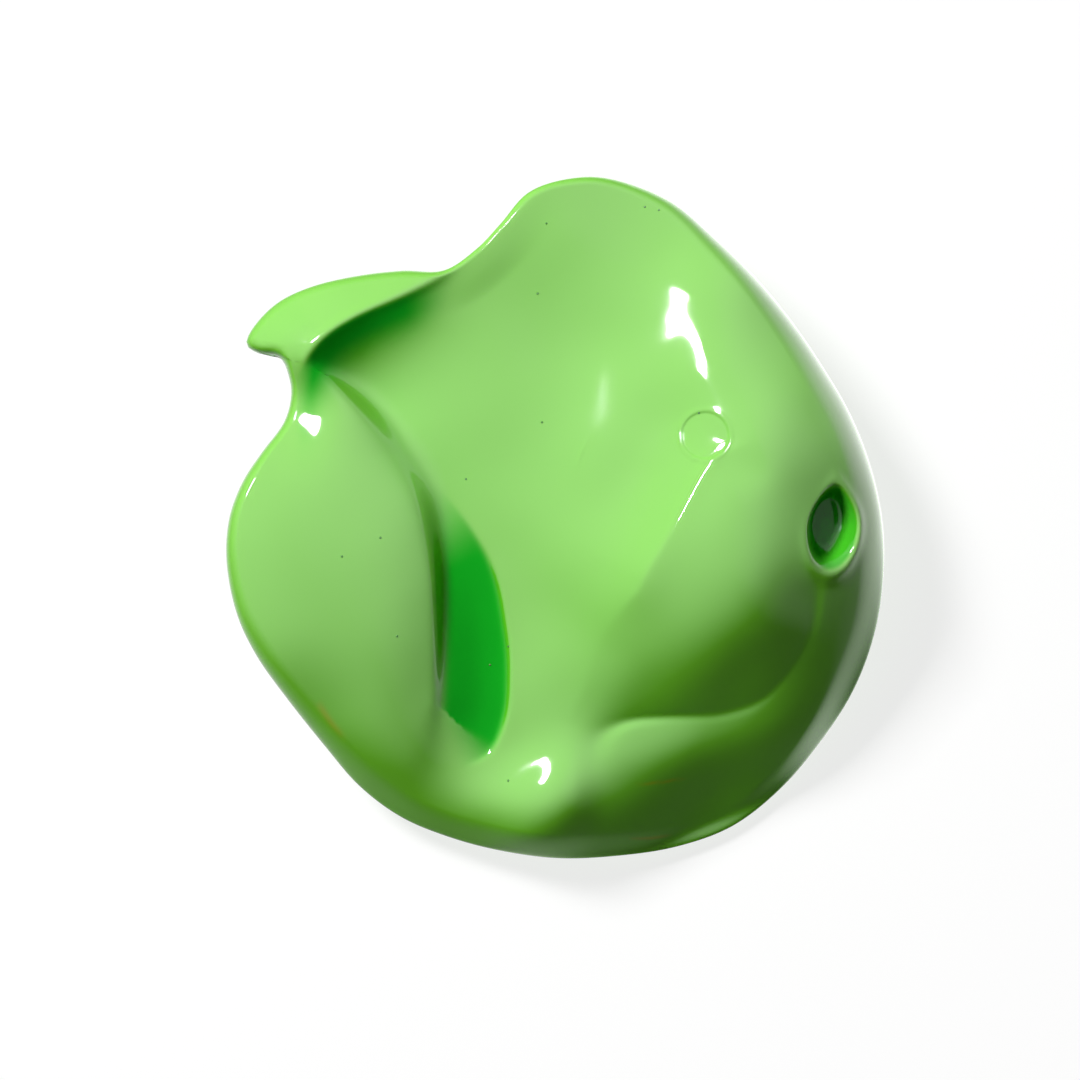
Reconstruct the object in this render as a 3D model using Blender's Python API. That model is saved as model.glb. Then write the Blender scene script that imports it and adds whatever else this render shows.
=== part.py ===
# A dollop of thick green paint, tipped out in folds and left to settle on a flat table.
# Each fold is one solid: they share one sculpted outer form, parted along the creases.
# +X runs from the left lobe to the right shoulder, +Y towards the lip, Z = 0 is the table.

import math

import bmesh
import bpy
import numpy as np

DOLLOP_WIDTH = 0.0606  # X, left lobe to right shoulder
DOLLOP_LENGTH = 0.0629  # Y, closing rim to lip
CROWN_HEIGHT = 0.0188  # top of the right mound
FOOT_DEPTH = 0.0015  # the slumped foot that every fold rests on
FOLD_GAP = 0.0003  # parting between two folds
CREVICE_DROP = 0.0005  # crevice floor below the tongue beside it
CREVICE_WALL = 0.0008  # how wide the left lobe's steep inner wall is at its steepest
FOOT_TUCK = 1.0  # share of the drawn tuck at the foot, under the rolled edge

DRAWN_WIDTH, DRAWN_LENGTH, DRAWN_CROWN = 60.5, 62.8, 18.6  # the tables below, in mm
GRID = {"around": 96, "rings": 22, "wall": 4, "floor": 2}
EDGE_ROUND = 2.1  # fullness of the rolled edge
RIM_REACH, RIM_RISE = 4.0, 0.5  # how far in the surface stays above the edge, and by how much
SPOT_EASE = 25.0  # how loosely the surfaces follow their spot heights
LIP_FLARE = 1.4  # how early the lip's outer face draws in
FOOT_EVENING, CORE_EVENING = 200, 900  # rounds that even out the foot's line and the core's

# Rolled edge, anticlockwise from the right shoulder: x, y, height, rounding, tuck, lip share
EDGE = [
    (30.15, 0, 9.2, 2.4, 2, 0), (29, 5.1, 9.8, 2.4, 2, 0), (27.1, 9.9, 10, 2.4, 2, 0),
    (24.6, 14.2, 10, 2.4, 2, 0), (21.8, 18.3, 10, 2.2, 2.1, 0), (18.6, 22.2, 10, 2, 2.3, 0.1),
    (14.9, 25.8, 10.2, 1.8, 2.7, 0.3), (10.7, 29.3, 10.6, 1.4, 2.9, 0.6), (5.5, 31.3, 11.6, 1, 3, 0.9),
    (1.5, 31.4, 12.4, 0.8, 3, 1), (-2.4, 30.1, 12.9, 0.7, 2.8, 1), (-5, 27.2, 13, 0.6, 2.6, 1),
    (-7.2, 24.9, 12.9, 0.6, 2.4, 1), (-10.2, 22.95, 12.5, 0.6, 2.2, 1), (-14, 22.95, 11.8, 0.8, 2, 1),
    (-18, 22.5, 11.6, 0.8, 1.8, 1), (-22, 21.6, 11.5, 0.8, 1.6, 1), (-25.2, 20.2, 11.2, 0.8, 1.4, 1),
    (-27.4, 18.2, 10.9, 0.8, 1.2, 1), (-28.4, 16.3, 10.7, 0.8, 1.2, 1), (-27.3, 15.35, 10.6, 0.8, 1.2, 1),
    (-25.3, 14.9, 10.5, 0.8, 1.2, 0.8), (-24.5, 13.2, 10.4, 0.7, 1.6, 0.5),
    (-24.3, 11.3, 10.4, 0.8, 1.6, 0.2), (-25, 8.9, 10.6, 0.9, 1.6, 0), (-27, 6.2, 10.8, 0.9, 1.8, 0),
    (-28.8, 3.4, 10.9, 1, 1.8, 0), (-30, 0, 10.9, 1.1, 1.8, 0), (-30.2, -4, 10.7, 1.3, 1.8, 0),
    (-29.3, -8.6, 10.2, 1.6, 1.8, 0), (-27.5, -12.5, 9.3, 2, 1.7, 0), (-24.8, -16.4, 7.8, 2.1, 1.6, 0),
    (-21.4, -20.8, 5.8, 2.2, 1.5, 0), (-18.2, -24.6, 4.2, 2.3, 1.5, 0), (-14.4, -27.5, 3.3, 2.4, 1.4, 0),
    (-10.2, -29.3, 3.2, 2.4, 1.4, 0), (-5.4, -30.6, 3.6, 2.4, 1.4, 0), (0, -31.35, 3.9, 2.4, 1.4, 0),
    (5.5, -31.2, 3, 2.4, 1.4, 0), (11.2, -30.4, 2.6, 2, 1.4, 0), (16.5, -28.5, 2.6, 1.8, 1.4, 0),
    (21, -25, 2.6, 1.8, 1.5, 0), (24.7, -20.6, 2.6, 2, 1.6, 0), (27.6, -15.9, 4.8, 2.4, 1.7, 0),
    (29.5, -10.7, 6.7, 2.4, 1.8, 0), (30.3, -5.3, 8.4, 2.4, 1.9, 0),
]

# Spot heights of the scoop, the mound and its flank
POUR_SPOTS = [
    (-9.8, 22.4, 13.4), (-6.5, 25.6, 13.6), (-3.5, 29, 13.8), (0, 30.8, 13.8), (5, 30.6, 13.4),
    (10, 28.3, 13.5), (14, 25.4, 14.2), (-6, 22, 13), (-3, 25, 13.4), (1, 27, 13.8), (6, 27, 13.6),
    (10, 24, 13.9), (9, 21, 14.35), (13, 21, 15.4), (-11, 18.5, 12.8), (-5, 17, 12.5), (0, 21, 12.9),
    (5, 21, 13.6), (9, 19, 14.8), (0, 16, 12.5), (4, 16, 13.1), (-20.6, 16.4, 14.8), (-18, 18.3, 14.8),
    (-14, 20, 14.3), (-19.6, 15.2, 13.3), (-16.8, 16.8, 13.1), (-13.2, 18.4, 13), (-18, 13.8, 12),
    (-15.4, 15, 12.1), (-15, 11, 11.2), (-12, 14.5, 11.9), (-10, 10, 11.7), (-13, 8, 11.4), (-10, 5, 11.3),
    (-6, 10, 12.2), (-4, 12.5, 12.4), (-1, 12, 12.6), (-4, 5, 12), (-6, 2, 11.5), (-8, 0, 10.9),
    (-4, 0, 11.7), (0, 4, 12.8), (-2, -2, 11.9), (-6, -3, 10.7), (1, 8, 13), (3, 10.5, 13.3), (5, 7, 14.2),
    (8, 12, 14.7), (8, 4, 15), (4, 4, 14.3), (2, 1, 13.4), (3, -3, 13.9), (0, -4, 12.4), (2, -6, 13),
    (-3, -6, 10.9), (0, -8, 11.5), (6, 1, 14.9), (7, -3, 15.7), (5, -5, 14.7), (7, -7, 15.5), (4, -8, 13.7),
    (6, -10, 14.2), (2, -10, 12), (4, -12, 12.6), (0, -12, 11), (-3, -10, 10.3), (-3.5, -13, 9.8),
    (1.5, -15, 10.8), (-2, -15, 10), (1, -18, 10), (-2, -18, 9.6), (-5.5, -8, 10.2), (-6.5, -12, 9.8),
    (-7, -16, 9.4), (-5.5, -19.5, 9), (-9.2, -7, 10.8), (-9.4, -12, 10.4), (-9.4, -17, 9.9), (11, 9, 15.6),
    (12, 13.5, 16.1), (11, 17, 15.3), (10, 1.5, 16.6), (11, 5, 16.4), (13, 7, 17), (12, -1, 17.7),
    (10, -5, 16.9), (11, -8, 16.7), (13, -4, 17.9), (15, -7, 17.5), (13, -10.5, 16.1), (10, -10, 15.7),
    (9, -12.5, 14.2), (12, -13, 14.4), (15, -13, 14.4), (8.5, -15.3, 12), (11.5, -15.5, 12.4),
    (14, -15.4, 12.3), (6.5, -15, 12.2), (12, -18.1, 9.7), (16, -16, 11), (9, -18.3, 9.9), (6, -17.2, 10.7),
    (6, -18.6, 10.1), (15.4, -18, 9.4), (18.8, -16.9, 9.9), (22, -13.6, 11), (23.8, -9.7, 12.7),
    (24.3, -6.2, 14.3), (25.2, -3.6, 15.1), (17, -10, 16.1), (18, -13, 13.2), (19.5, -10.5, 15),
    (21, -12.6, 12.2), (18, -6, 17.8), (20.5, -8, 15.9), (22.5, -9.5, 13.6), (16, -3, 18.3), (19, -3, 18.1),
    (21.5, -5, 16.5), (23, -7, 14.2), (15, 2, 18.2), (17.5, 3, 18.6), (20, 0, 18.1), (23, -2.5, 16.3),
    (16, 6, 18.2), (20, 5, 18.5), (23, 2.5, 17), (25, -0.5, 15.5), (27, -3.5, 13.6), (29, -5.5, 11.9),
    (25.5, 4, 15.9), (27.5, 1, 14.2), (29.3, -1, 12.8), (19, 9, 18.2), (22.5, 7.5, 17.4), (24.5, 8, 16.4),
    (27, 6, 14.9), (28.5, 3, 13.6), (17, 11.5, 17.5), (14.5, 13.5, 17), (20.5, 11.5, 17.2),
    (18, 14.5, 16.6), (23, 11.5, 16.2), (15, 17, 16.2), (25.5, 10.5, 14.6), (23, 14.5, 14.8),
    (20, 17, 15.3), (20.5, 19, 14.5), (16.5, 21, 15.5), (6.5, -21, 7.6), (10, -21, 7.2), (14, -20.6, 7),
    (18.5, -19, 7.4), (22, -16.5, 8.4), (25, -13, 9), (26.6, -9, 10.4), (28.4, -7, 10.8), (9, -25, 4.2),
    (14, -25, 3.2), (20, -22, 4), (25, -17, 5.2), (28, -11.5, 7), (-3, -21, 8.8), (0, -20.8, 9.8),
    (3, -21, 10), (-4, -24, 8.9), (-1, -23, 9.8), (2, -23.8, 10.3), (-2, -26.2, 9.9), (0.5, -26.6, 10.2),
    (3, -27, 8.9), (5, -24.5, 8.9), (-5.5, -27, 8.4), (-2.5, -29, 8.4), (2, -29.6, 6.8), (-7, -21.5, 8.5),
    (-8, -24.5, 8), (-10, -22, 8.6), (-11, -25, 7.6), (-8, -27, 7.4), (-6, -29.4, 5.6), (-9, -29, 4.8),
]

# Spot heights of the closing rim, the inner ledge and the outer band
LEDGE_SPOTS = [
    (0, -20.8, 9.9), (0, -24, 10.3), (0.5, -26.6, 10.1), (0, -29.5, 7.2), (3, -19.6, 10), (3, -21.5, 10.1),
    (3, -24, 9.9), (3, -27, 8.6), (3, -29.6, 6.4), (6, -18.6, 10.1), (6, -20.4, 9.8), (6, -22.3, 9.7),
    (6, -24.5, 8.8), (6, -27, 7.6), (6, -29.4, 5.3), (9, -18.3, 9.9), (9, -20.5, 9.6), (9, -22.3, 9.2),
    (9, -24.5, 7.8), (9, -27, 5.9), (9, -29.2, 4), (12, -18.1, 9.7), (12, -19.8, 9.4), (12, -21.6, 8.8),
    (12, -23.6, 7.2), (12, -26, 4.9), (12, -28.4, 2.8), (15.4, -18, 9.4), (15.2, -19.6, 8.8),
    (15, -21.2, 8), (15, -23, 6.3), (15, -25, 4.3), (15, -27.2, 2.5), (18.8, -16.9, 9.8),
    (19.7, -17.9, 8.9), (18, -19.6, 8.4), (18, -21.6, 6.5), (18, -24, 4.1), (18, -26.4, 2.3),
    (20.6, -18.9, 8.2), (21.8, -20.4, 6.2), (22.4, -22, 4), (22, -13.6, 11), (23.1, -14.5, 9.9),
    (24.2, -15.5, 8.6), (25.4, -16.6, 6.9), (26.2, -17.2, 5.6), (23.8, -9.7, 12.7), (25.2, -10.2, 11.5),
    (26.4, -11, 10), (27.6, -12, 8.4), (28.4, -12.6, 7.2), (24.3, -6.2, 14.3), (25.6, -6.6, 13.3),
    (27, -7.2, 11.9), (28.5, -8, 10.3), (25.2, -3.6, 15.1), (26.6, -3.8, 14), (28.4, -4.2, 12.4),
    (29.5, -5, 11.2), (27.5, -1.5, 14), (29.3, -1, 12.7), (29.4, 1.5, 12.8), (27.5, 1, 14.2),
    (25.5, 1.5, 15.7),
]

# Spot heights of the left lobe and of the curl's outer face
LOBE_SPOTS = [
    (-21.4, 12.6, 14), (-23.4, 11.2, 12.7), (-22, 9.8, 13.7), (-20.4, 8.4, 14.3), (-19, 11, 14.2),
    (-17, 9, 13.8), (-15, 6.5, 13.4), (-24, 7.6, 13.5), (-21, 5, 14.5), (-17, 4.5, 14.2), (-13.5, 2, 13.7),
    (-12, 4.5, 12.8), (-27, 6, 13.9), (-26, 3, 14.5), (-22, 1, 14.8), (-18, 0, 14.6), (-14.5, -2, 14.2),
    (-11.5, -1, 13.1), (-29, 1, 14.2), (-28, -2, 14.5), (-24, -3, 14.8), (-20, -4, 14.7), (-16, -6, 14.2),
    (-13, -6.5, 13.6), (-11, -6, 12.7), (-29.6, -5, 13.8), (-27, -6, 14.3), (-23, -8, 14.3),
    (-19, -9.5, 14), (-15.5, -10.5, 13.6), (-12.5, -11, 12.8), (-11, -10.5, 12), (-28, -10, 13.3),
    (-25, -12, 13.4), (-21, -13, 13.2), (-17, -15, 12.6), (-14, -15, 12.3), (-11.5, -15.5, 11.2),
    (-26, -14.4, 12), (-23, -17, 10.9), (-19.5, -17, 11.5), (-20, -20.5, 9.2), (-16, -19.5, 10.9),
    (-13, -19, 10.8), (-17.4, -23, 8), (-14, -22.5, 9.4), (-11, -20, 9.9), (-13.5, -25.6, 6.8),
    (-11, -24.5, 8), (-9, -26.5, 7.2), (-7, -24.5, 8.4), (-12, -28, 4.6), (-15.5, -26, 5.2),
    (-18.7, -23.6, 6.2), (-8.6, -29, 4.8), (-27.2, 18.4, 12.4), (-25, 17.2, 14.1), (-23.2, 15.4, 15.2),
    (-24.6, 20, 12.8), (-22.4, 18.8, 14), (-21, 17.2, 15.1), (-21.4, 21.2, 13.3), (-19.4, 19.8, 14.4),
    (-18, 18.6, 15.1), (-17, 21.8, 13.6), (-14, 20.7, 14.7), (-13, 22.4, 13.7), (-10, 22.6, 13.9),
]

# Lines where one surface breaks into the other; the valley lies on their left
CURL_CREST = [
    (6, 36), (0, 33), (-6, 26.9), (-8.6, 24), (-10.4, 22.4), (-14, 20.6), (-18, 18.9), (-20.8, 17.2),
    (-22.6, 15.2), (-25, 11.5), (-28, 6),
]
LOBE_BREAK = [
    (-32, 18), (-26, 15.8), (-23.2, 14.5), (-20, 12.6), (-16.5, 9.4), (-13.6, 5.6), (-11.7, 2), (-10.8, -3),
    (-10.6, -8), (-10.6, -13), (-10.8, -18), (-11.2, -22), (-11.8, -27), (-12.5, -33),
]
TONGUE_BREAK = [
    (-11, 3.5), (-7.6, -1), (-5.6, -5), (-4.6, -10), (-4.3, -14), (-4.6, -18), (-6, -21.3), (-9, -23.2),
]
# Where the mound and the scoop break into the ledges, on its right: x, y, width of the break
LEDGE_BREAK = [
    (3.4, -36, 1.5), (3.2, -28, 1.5), (3.2, -23, 1.3), (4.2, -20.2, 0.9), (6.4, -18.7, 0.4),
    (9.5, -18.2, 0.3), (12, -18, 0.3), (15.4, -17.9, 0.28), (18.8, -16.8, 0.28), (22, -13.5, 0.28),
    (23.8, -9.6, 0.28), (24.3, -6, 0.4), (25.2, -3.6, 0.8), (27.5, -1.7, 1.4), (33, -0.6, 1.6),
]
# How wide the lobe's break is along Y, as a multiple of its steepest part
LOBE_BREAK_Y = (-27, -22, -17, -12, -6, 0, 6, 12, 15)
LOBE_BREAK_WIDTH = (3.8, 2.0, 0.63, 0.56, 0.63, 1.1, 1.75, 1.0, 0.5)
CREST_BREAK, TONGUE_WIDTH = 0.5, 0.28

# Creases that part the folds, in plan
CURL_SEAM = [
    (-7.5, 40), (-8.2, 26), (-9.3, 22.6), (-11.5, 20.6), (-14.5, 19.2), (-18.2, 17.5), (-20.6, 16.0),
    (-22.2, 14.3),
]
NOTCH_SEAM = [(-40, 14.0), (-26, 14.4), (-22.2, 14.3)]
LOBE_SEAM = [
    (-22.2, 14.3), (-19.4, 12.0), (-15.8, 9.0), (-12.8, 5.4), (-10.9, 2), (-9.6, -3), (-9.2, -8), (-9.3, -13),
    (-9.9, -18), (-10.4, -21.6),
]
LOBE_TOE_SEAM = [(-10.4, -21.6), (-11.2, -27), (-12, -40)]
CLOSING_SEAM = [(-10.4, -21.6), (-6, -22.4), (-2, -22.7), (2.5, -22.0)]
MOUND_TOE_SEAM = [
    (2.5, -18.9), (6.4, -18.7), (9.5, -18.2), (12, -18), (15.4, -17.9), (18.8, -16.8), (22, -13.5),
    (23.8, -9.6), (25, -5),
]
HOLLOW_SEAM = [(2.5, -24.2), (8, -24.6), (13.6, -23.6), (19.6, -20.9), (24, -17), (26.5, -11.5), (28, -4)]
CREASE_SEAM = [
    (2.5, -18.9), (2.9, -15), (4.2, -11), (6.4, -7.5), (8.4, -5), (11, -0.5), (13, 3.4), (14.4, 5.2),
    (15.9, 7.5),
]
CROWN_SEAM = [(15.9, 7.5), (18.5, 9.6), (22.5, 9.0), (25.8, 6.2), (28, 1.5)]
SHOULDER_SEAM = [(28, 1.5), (34, 4), (40, 6)]


def mm(length):
    return length * 1000.0


def smooth_step(share):
    share = np.clip(share, 0.0, 1.0)
    return share * share * (3.0 - 2.0 * share)


def break_over(distance, width):
    """0 to 1 across a break in the surface."""
    return 0.5 * (1.0 + np.tanh(distance / width))


def curve_through(points, closed=False, per_span=8):
    """A smooth curve through every point, as an array of points along it."""
    table = np.array(points, float)
    if closed:
        ring = np.vstack([table[-1:], table, table[:2]])
    else:
        ring = np.vstack([2 * table[0] - table[1], table, 2 * table[-1] - table[-2]])
    share = np.linspace(0.0, 1.0, per_span, endpoint=False)[:, None]
    spans = []
    for a, b, c, d in zip(ring, ring[1:], ring[2:], ring[3:]):
        bend = (2 * a - 5 * b + 4 * c - d) * share**2 + (3 * b - a - 3 * c + d) * share**3
        spans.append(b + 0.5 * ((c - a) * share + bend))
    if not closed:
        spans.append(ring[-2:-1])
    return np.vstack(spans)


def surface_through(spots):
    """The smoothest surface through spot heights, as a function of x and y."""
    spots = np.array(spots, float)
    count = len(spots)
    apart = np.hypot(*(spots[:, None, :2] - spots[None, :, :2]).transpose(2, 0, 1))
    rows = np.zeros((count + 3, count + 3))
    rows[:count, :count] = apart**3 + SPOT_EASE * np.eye(count)
    rows[:count, count:] = np.column_stack([np.ones(count), spots[:, :2]])
    rows[count:, :count] = rows[:count, count:].T
    weight = np.linalg.solve(rows, np.append(spots[:, 2], np.zeros(3)))

    def height(x, y):
        level = weight[count] + weight[count + 1] * x + weight[count + 2] * y
        for (at_x, at_y, _), pull in zip(spots, weight):
            level = level + pull * np.hypot(x - at_x, y - at_y) ** 3
        return level

    return height


def nearest_on(line, x, y):
    """Share along the line of the nearest point, and the distance to its left."""
    start, run = line[:-1, :2], np.diff(line[:, :2], axis=0)
    length = np.hypot(run[:, 0], run[:, 1])
    along = run / length[:, None]
    from_x, from_y = x[:, None] - start[:, 0], y[:, None] - start[:, 1]
    held = np.clip(from_x * along[:, 0] + from_y * along[:, 1], 0.0, length)
    away = np.hypot(from_x - held * along[:, 0], from_y - held * along[:, 1])
    near = np.argmin(away, axis=1)
    row = np.arange(len(x))
    side = along[near, 0] * from_y[row, near] - along[near, 1] * from_x[row, near]
    passed = np.cumsum(length)[near] - length[near] + held[row, near]
    return passed / length.sum(), np.where(side >= 0, 1.0, -1.0) * away[row, near]


def share_of(line):
    """How far along the line each of its points lies, 0 to 1."""
    length = np.append(0.0, np.cumsum(np.hypot(*np.diff(line[:, :2], axis=0).T)))
    return length / length[-1]


POUR, LEDGES, LOBE = (surface_through(spots) for spots in (POUR_SPOTS, LEDGE_SPOTS, LOBE_SPOTS))
RIM = curve_through(EDGE, closed=True)
CREST, BREAK, TONGUE = (curve_through(line) for line in (CURL_CREST, LOBE_BREAK, TONGUE_BREAK))
TOE = curve_through(LEDGE_BREAK)


def surface_height(x, y):
    """Height of the dollop's top over a point, before its edge rolls down."""
    _, past_crest = nearest_on(CREST, x, y)
    _, past_break = nearest_on(BREAK, x, y)
    along_tongue, past_tongue = nearest_on(TONGUE, x, y)
    wall = mm(CREVICE_WALL) * np.interp(y, LOBE_BREAK_Y, LOBE_BREAK_WIDTH)
    valley = break_over(past_break, wall) * break_over(past_crest, CREST_BREAK)
    crevice = break_over(-past_tongue, TONGUE_WIDTH) * smooth_step((along_tongue - 0.12) / 0.3)
    crevice *= smooth_step((1.0 - along_tongue) / 0.25)
    crevice *= np.exp(-((np.maximum(-past_tongue - 2.0, 0.0) / 3.0) ** 2))
    poured = POUR(x, y) - mm(CREVICE_DROP) * crevice
    along_toe, past_toe = nearest_on(TOE, x, y)
    outer = break_over(-past_toe, np.interp(along_toe, share_of(TOE), TOE[:, 2]))
    poured = (1.0 - outer) * poured + outer * LEDGES(x, y)
    return (1.0 - valley) * LOBE(x, y) + valley * poured


def evened(ring, rounds):
    """The closed ring with its values smoothed along it."""
    for _ in range(rounds):
        ring = (np.roll(ring, 1, axis=0) + 2.0 * ring + np.roll(ring, -1, axis=0)) / 4.0
    return ring


def foot_line():
    """Where the foot meets the table, point for point under the edge: no tip, no notch."""
    line = evened(RIM[:, :2], FOOT_EVENING)
    run = np.roll(line, -1, axis=0) - np.roll(line, 1, axis=0)
    left = np.column_stack([-run[:, 1], run[:, 0]]) / np.hypot(*run.T)[:, None]
    return line + left * (FOOT_TUCK * RIM[:, 4])[:, None]


def turned_puck(name):
    """A flat round puck, one unit in radius and height, turned from a profile."""
    rings, wall, floor = GRID["rings"], GRID["wall"], GRID["floor"]
    profile = [(math.sin(0.5 * math.pi * k / rings), 1.0) for k in range(rings + 1)]
    profile += [(1.0, 1.0 - k / wall) for k in range(1, wall + 1)]
    profile += [(1.0 - k / floor, 0.0) for k in range(1, floor + 1)]
    puck = bmesh.new()
    points = [puck.verts.new((radius, 0.0, height)) for radius, height in profile]
    edges = [puck.edges.new(pair) for pair in zip(points, points[1:])]
    bmesh.ops.spin(
        puck, geom=points + edges, axis=(0, 0, 1), angle=2 * math.pi, steps=GRID["around"], use_merge=True
    )
    bmesh.ops.remove_doubles(puck, verts=puck.verts, dist=1e-5)
    bmesh.ops.recalc_face_normals(puck, faces=puck.faces)
    mesh = bpy.data.meshes.new(name)
    puck.to_mesh(mesh)
    puck.free()
    return mesh


def rim_values(angle):
    """The edge's table, foot and core at each angle of the puck, by length along the edge."""
    ring = np.hstack([RIM, foot_line(), evened(RIM[:, :2], CORE_EVENING)])
    closed = np.vstack([ring, ring[:1]])
    length = np.append(0.0, np.cumsum(np.hypot(*np.diff(closed[:, :2], axis=0).T)))
    turn = (angle / (2 * math.pi)) % 1.0 * length[-1]
    return np.column_stack([np.interp(turn, length, column) for column in closed.T])


def sculpt(mesh):
    """Moves the puck's points onto the dollop's outer form."""
    points = np.empty(3 * len(mesh.vertices))
    mesh.vertices.foreach_get("co", points)
    points = points.reshape(-1, 3)
    radius = np.hypot(points[:, 0], points[:, 1])
    drop = 1.0 - points[:, 2]
    table = rim_values(np.arctan2(points[:, 1], points[:, 0]))
    edge, level, rounding, lip = table[:, :2], table[:, 2], table[:, 3], table[:, 5]
    foot, core = table[:, 6:8], table[:, 8:10]
    formed = np.empty_like(points)

    top = drop < 1e-4
    grow = smooth_step((radius - 0.5) / 0.5)[:, None]
    spread = (core + (edge - core) * grow) * radius[:, None]
    spread[:, 1] += 10.0 * grow[:, 0] * (1.0 - radius)
    x, y = spread[top].T
    _, inside = nearest_on(np.vstack([RIM, RIM[:1]]), x, y)
    share = np.clip(np.where(radius[top] > 0.9999, 0.0, inside) / rounding[top], 0.0, 1.0)
    roll = (1.0 - (1.0 - share) ** EDGE_ROUND) ** (1.0 / EDGE_ROUND)
    height = surface_height(x, y)
    raised = np.maximum(level[top] + RIM_RISE - height, 0.0) * smooth_step(1.0 - inside / RIM_REACH)
    formed[top] = np.column_stack([x, y, level[top] + (height + raised - level[top]) * roll])

    side = ~top & (radius > 0.9999)
    turn = 0.5 * math.pi * drop[side]
    rolled, flared = 1.0 - np.cos(turn), 1.0 - (1.0 - drop[side]) ** LIP_FLARE
    tucked = (rolled + (flared - rolled) * lip[side])[:, None]
    formed[side, :2] = edge[side] + (foot[side] - edge[side]) * tucked
    sunk = (1.0 - np.sin(turn)) * (1.0 - lip[side]) + (1.0 - drop[side]) * lip[side]
    formed[side, 2] = level[side] * sunk

    under = ~top & ~side
    sole = (core + (foot - core) * grow)[under] * radius[under][:, None]
    formed[under] = np.column_stack([sole, np.zeros(under.sum())])

    scale = (DOLLOP_WIDTH / DRAWN_WIDTH, DOLLOP_LENGTH / DRAWN_LENGTH, CROWN_HEIGHT / DRAWN_CROWN)
    mesh.vertices.foreach_set("co", (formed * scale).ravel())
    mesh.update()


def drawn_in(ring, distance):
    """A closed plan outline, whichever way round, drawn in on every side by a distance."""
    run = np.roll(ring, -1, axis=0) - ring
    if (ring[:, 0] * run[:, 1] - ring[:, 1] * run[:, 0]).sum() < 0.0:
        return drawn_in(ring[::-1], distance)
    run = run / np.hypot(*run.T)[:, None]
    left = np.column_stack([-run[:, 1], run[:, 0]])
    before = np.roll(left, 1, axis=0)
    reach = 1.0 + (left * before).sum(axis=1)
    return ring + distance * (left + before) / reach[:, None]


def scene_collection(name):
    collection = bpy.data.collections.new(name)
    bpy.context.scene.collection.children.link(collection)
    return collection


def painted(name, color):
    """Wet, glossy paint."""
    paint = bpy.data.materials.new(name)
    paint.use_nodes = True
    surface = paint.node_tree.nodes["Principled BSDF"]
    surface.inputs["Base Color"].default_value = (*color, 1.0)
    surface.inputs["Roughness"].default_value = 0.08
    surface.inputs["Metallic"].default_value = 0.0
    return paint


def prism(name, outline, low, high, into):
    """A helper solid over a plan outline, between two heights."""
    shape = bmesh.new()
    face = shape.faces.new([shape.verts.new((x, y, low)) for x, y in outline])
    raised = bmesh.ops.extrude_face_region(shape, geom=[face])["geom"]
    tops = [part for part in raised if isinstance(part, bmesh.types.BMVert)]
    bmesh.ops.translate(shape, verts=tops, vec=(0.0, 0.0, high - low))
    bmesh.ops.recalc_face_normals(shape, faces=shape.faces)
    mesh = bpy.data.meshes.new(name)
    shape.to_mesh(mesh)
    shape.free()
    cutter = bpy.data.objects.new(name, mesh)
    cutter.hide_render = True
    cutter.display_type = "WIRE"
    into.objects.link(cutter)
    return cutter


def fold(name, color, form, cutter, into):
    """The part of the dollop's form that lies inside its cutter."""
    piece = bpy.data.objects.new(name, form.copy())
    piece.data.name = name
    piece.data.materials.append(painted(name + "_paint", color))
    piece.data.shade_smooth()
    into.objects.link(piece)
    part_off = piece.modifiers.new("part_off", "BOOLEAN")
    part_off.operation = "INTERSECT"
    part_off.solver = "EXACT"
    part_off.object = cutter
    return piece


def plan_of(*seams):
    """One closed outline from seams laid end to end, in metres, each shared end kept once."""
    scale = np.array([DOLLOP_WIDTH / DRAWN_WIDTH, DOLLOP_LENGTH / DRAWN_LENGTH])
    ring = []
    for seam in seams:
        ring += [point for point in seam if not ring or point != ring[-1]]
    if ring[0] == ring[-1]:
        ring.pop()
    return np.array(ring, float) * scale


def back(seam):
    return seam[::-1]


FOLDS = {
    "lip_curl": (
        (0.24, 0.60, 0.10), (CURL_SEAM, back(NOTCH_SEAM), [(-40, 40)]),
    ),
    "left_lobe": (
        (0.26, 0.66, 0.12), (NOTCH_SEAM, LOBE_SEAM, LOBE_TOE_SEAM, [(-40, -40)]),
    ),
    "scoop_pour": (
        (0.28, 0.68, 0.13),
        (back(CURL_SEAM), [(40, 40)], back(SHOULDER_SEAM), back(CROWN_SEAM), back(CREASE_SEAM),
         back(CLOSING_SEAM), back(LOBE_SEAM)),
    ),
    "right_mound": (
        (0.27, 0.67, 0.12),
        (MOUND_TOE_SEAM, back(HOLLOW_SEAM[-1:]), back(CROWN_SEAM), back(CREASE_SEAM)),
    ),
    "inner_ledge": (
        (0.22, 0.58, 0.09),
        (back(MOUND_TOE_SEAM), HOLLOW_SEAM),
    ),
    "outer_ledge": (
        (0.22, 0.56, 0.09),
        ([(2.5, -40), (40, -40)], back(SHOULDER_SEAM), back(HOLLOW_SEAM)),
    ),
    "closing_rim": (
        (0.25, 0.62, 0.11),
        (CLOSING_SEAM, [(2.5, -24.2), (2.5, -40)], back(LOBE_TOE_SEAM)),
    ),
}


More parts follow.
